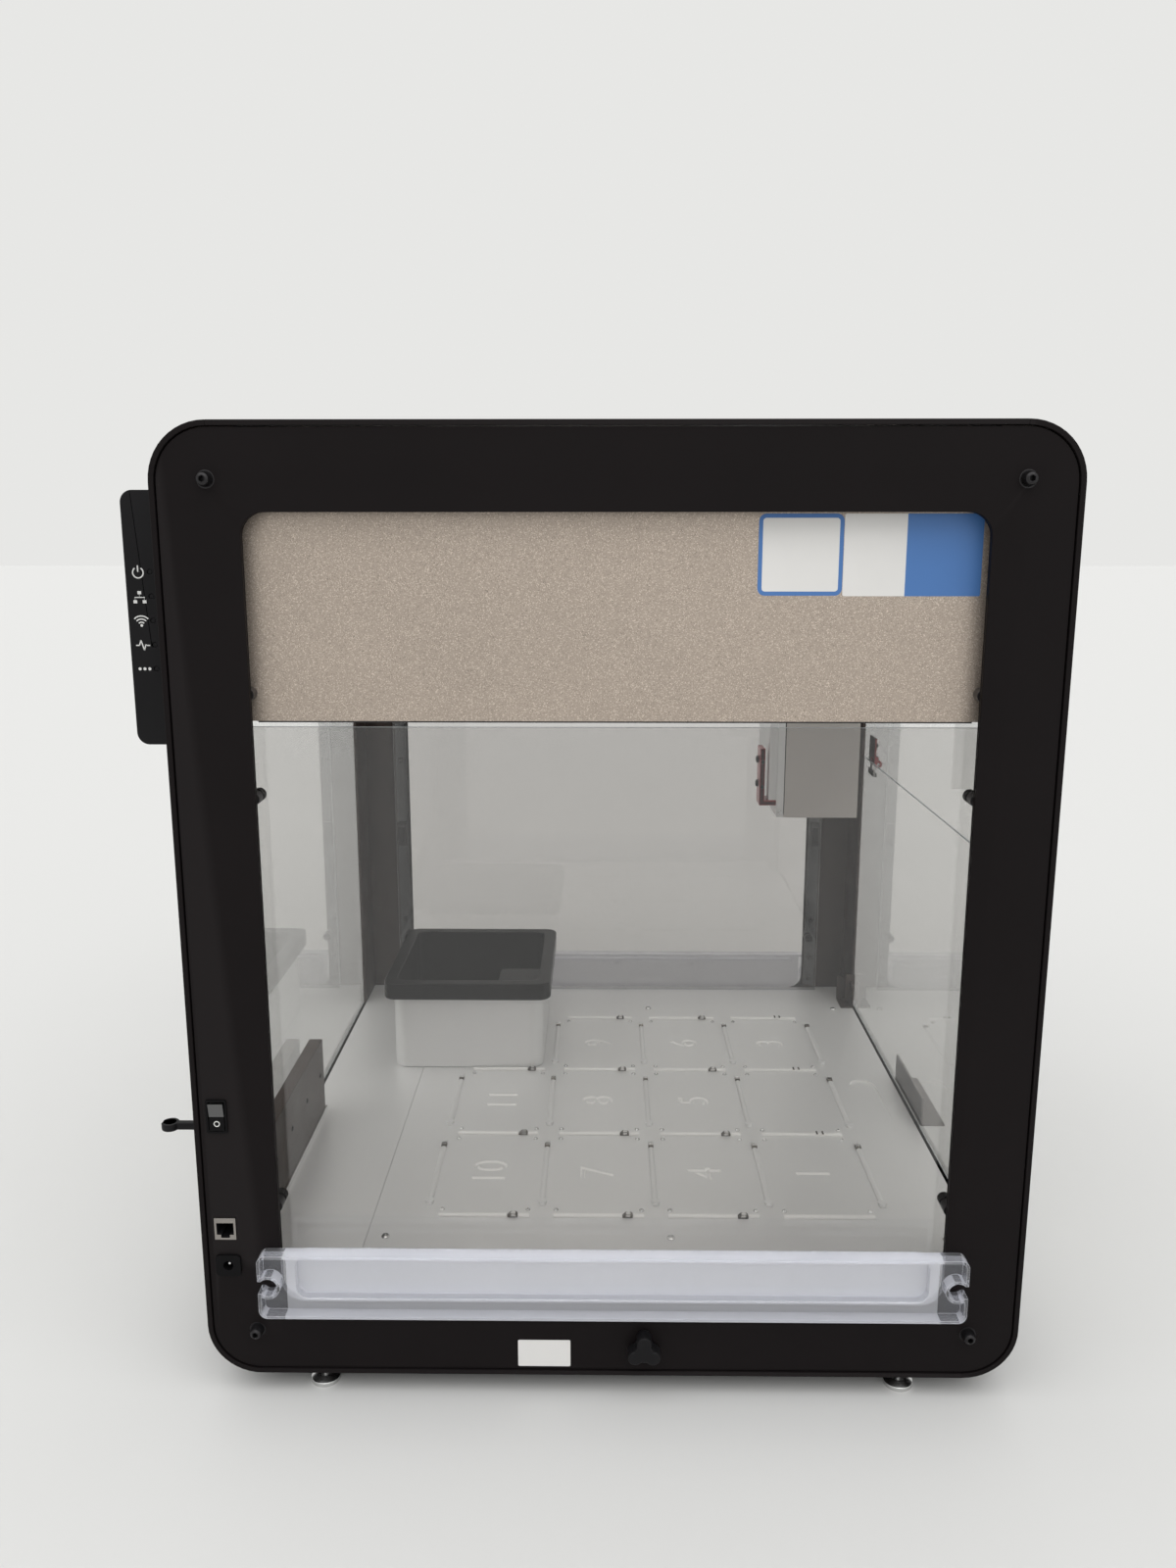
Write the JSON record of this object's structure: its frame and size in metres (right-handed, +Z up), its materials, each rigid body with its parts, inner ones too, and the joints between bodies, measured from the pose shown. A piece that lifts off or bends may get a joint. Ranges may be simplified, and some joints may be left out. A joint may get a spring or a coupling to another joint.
{
  "type": "liquid handling robot",
  "caption": "Benchtop liquid handling robot: a windowed box frame with a slotted deck, a lift-out bin, a flip-up door and a gantry head with pipette stages.",
  "frame": {"origin": "on the bench surface under the feet, midway between the sides; along Y it is midway between the door hinges and the back of the hub", "axes": "+X to the robot's right, +Y to its back, +Z up"},
  "size_m": [0.63, 0.6215, 0.668],
  "materials": {
    "black_powder": "fine matte black powder coat",
    "champagne_powder": "sparkling champagne powder coat",
    "clear_acrylic": "clear polished acrylic",
    "clear_moulding": "clear moulded plastic",
    "satin_aluminium": "satin anodised",
    "dark_steel": "brown-black coated steel sheet",
    "black_plastic": "moulded black plastic",
    "gloss_black": "glossy black plastic",
    "black_oxide": "black oxide fastener",
    "spring_steel": "dark spring steel",
    "bright_steel": "bright zinc or ground steel",
    "belt_rubber": "toothed black belt",
    "motor_black": "black motor housing",
    "grey_paint": "pale grey painted sheet",
    "red_steel": "dark red coated steel",
    "lamp_diffuser": "frosted lamp cover"
  },
  "bodies": {
    "chassis": {"base_pan": "black_powder", "top_cover": "black_powder", "front_frame": "black_powder", "rear_frame": "black_powder", "left_side_frame": "black_powder", "right_side_frame": "black_powder", "opening_lips": "black_powder", "front_panel": "champagne_powder", "rear_panel": "champagne_powder", "side_panels": "champagne_powder", "front_window": "clear_acrylic", "rear_window": "clear_acrylic", "side_windows": "clear_acrylic", "top_window": "clear_acrylic", "side_covers": "clear_moulding", "frame_screws": "black_oxide", "window_screws": "black_plastic", "corner_posts": "dark_steel", "deck_plates": "satin_aluminium", "slot_guides": "satin_aluminium", "slot_clips": "spring_steel", "deck_screws": "bright_steel", "rear_cover": "dark_steel", "trash_housing": "satin_aluminium", "y_beams": "satin_aluminium", "y_belts": "belt_rubber", "y_motor": "motor_black", "light_bar": "lamp_diffuser", "levelling_feet": "bright_steel", "switch_bezel": "black_plastic", "network_socket": "bright_steel", "power_socket": "black_plastic", "status_hub": "black_plastic", "cable_hook": "black_plastic", "upper_hinge_leaves": "dark_steel"},
    "door": {"door_pane": "clear_acrylic", "door_handle": "dark_steel", "lower_hinge_leaves": "bright_steel"},
    "rocker": {"switch_rocker": "black_plastic"},
    "knob": {"lobe_knob": "black_plastic"},
    "button": {"status_button": "clear_moulding"},
    "bin": {"trash_bin": "gloss_black"},
    "gantry": {"x_beam": "satin_aluminium", "gantry_ends": "dark_steel", "x_belt": "belt_rubber", "x_motor": "motor_black"},
    "drive_shaft": {"y_drive_shaft": "bright_steel"},
    "idlers": {"y_idlers": "bright_steel"},
    "x_drive": {"x_drive_pulley": "bright_steel"},
    "x_idler": {"x_idler_pulley": "bright_steel"},
    "head": {"head_plate": "satin_aluminium", "head_side_plates": "grey_paint", "transport_bracket": "red_steel", "z_motors": "motor_black"},
    "left_screw": {"left_lead_screw": "bright_steel"},
    "right_screw": {"right_lead_screw": "bright_steel"},
    "left_stage": {"left_z_stage": "black_powder"},
    "right_stage": {"right_z_stage": "black_powder"},
    "left_plunger_carriage": {"left_plunger": "bright_steel"},
    "right_plunger_carriage": {"right_plunger": "bright_steel"}
  },
  "joints": [
    {"name": "gantry_y", "type": "slide", "parent": "chassis", "child": "gantry", "axis": [0, 1, 0], "range_m": [-0.04, 0.31]},
    {"name": "head_x", "type": "slide", "parent": "gantry", "child": "head", "axis": [1, 0, 0], "range_m": [-0.23, 0.12]},
    {"name": "left_z", "type": "slide", "parent": "head", "child": "left_stage", "axis": [0, 0, -1], "range_m": [0, 0.13]},
    {"name": "right_z", "type": "slide", "parent": "head", "child": "right_stage", "axis": [0, 0, -1], "range_m": [0, 0.13]},
    {"name": "left_plunger_z", "type": "slide", "parent": "left_stage", "child": "left_plunger_carriage", "axis": [0, 0, -1], "range_m": [0, 0.018]},
    {"name": "right_plunger_z", "type": "slide", "parent": "right_stage", "child": "right_plunger_carriage", "axis": [0, 0, -1], "range_m": [0, 0.018]},
    {"name": "door_hinge", "type": "hinge", "parent": "chassis", "child": "door", "pos_m": [0, -0.2891, 0.3635], "axis": [-1, 0, 0], "range_deg": [0, 165]},
    {"name": "switch_rock", "type": "hinge", "parent": "chassis", "child": "rocker", "pos_m": [-0.304, 0.2689, 0.213], "axis": [0, 1, 0], "range_deg": [0, 10]},
    {"name": "button_press", "type": "slide", "parent": "chassis", "child": "button", "axis": [0, 1, 0], "range_m": [0, 0.0015], "stiffness_N_per_m": 800, "springref_m": -0.001},
    {"name": "bin_lift", "type": "slide", "parent": "chassis", "child": "bin", "axis": [0, 0, 1], "range_m": [0, 0.08]},
    {"name": "knob_turn", "type": "hinge", "parent": "chassis", "child": "knob", "pos_m": [-0.304, -0.0228, 0.0403], "axis": [-1, 0, 0], "continuous": true},
    {"name": "drive_shaft_turn", "type": "hinge", "parent": "chassis", "child": "drive_shaft", "pos_m": [0, 0.256, 0.58], "axis": [-1, 0, 0], "range_deg": [-3000, 3000]},
    {"name": "idler_turn", "type": "hinge", "parent": "chassis", "child": "idlers", "pos_m": [0, -0.256, 0.58], "axis": [-1, 0, 0], "range_deg": [-3000, 3000]},
    {"name": "x_drive_turn", "type": "hinge", "parent": "gantry", "child": "x_drive", "pos_m": [0.215, -0.116, 0.6], "axis": [0, 0, 1], "range_deg": [-3000, 3000]},
    {"name": "x_idler_turn", "type": "hinge", "parent": "gantry", "child": "x_idler", "pos_m": [-0.215, -0.116, 0.6], "axis": [0, 0, 1], "range_deg": [-3000, 3000]},
    {"name": "left_screw_turn", "type": "hinge", "parent": "head", "child": "left_screw", "pos_m": [0.01, -0.166, 0.45], "axis": [0, 0, 1], "range_deg": [-10, 6000]},
    {"name": "right_screw_turn", "type": "hinge", "parent": "head", "child": "right_screw", "pos_m": [0.11, -0.166, 0.45], "axis": [0, 0, 1], "range_deg": [-10, 6000]}
  ],
  "couplings": [
    {"joint": "drive_shaft_turn", "follows": "gantry_y", "rad_per_m": 139.86},
    {"joint": "idler_turn", "follows": "gantry_y", "rad_per_m": 139.86},
    {"joint": "x_drive_turn", "follows": "head_x", "rad_per_m": 139.86},
    {"joint": "x_idler_turn", "follows": "head_x", "rad_per_m": 139.86},
    {"joint": "left_screw_turn", "follows": "left_z", "rad_per_m": 785.4},
    {"joint": "right_screw_turn", "follows": "right_z", "rad_per_m": 785.4}
  ]
}
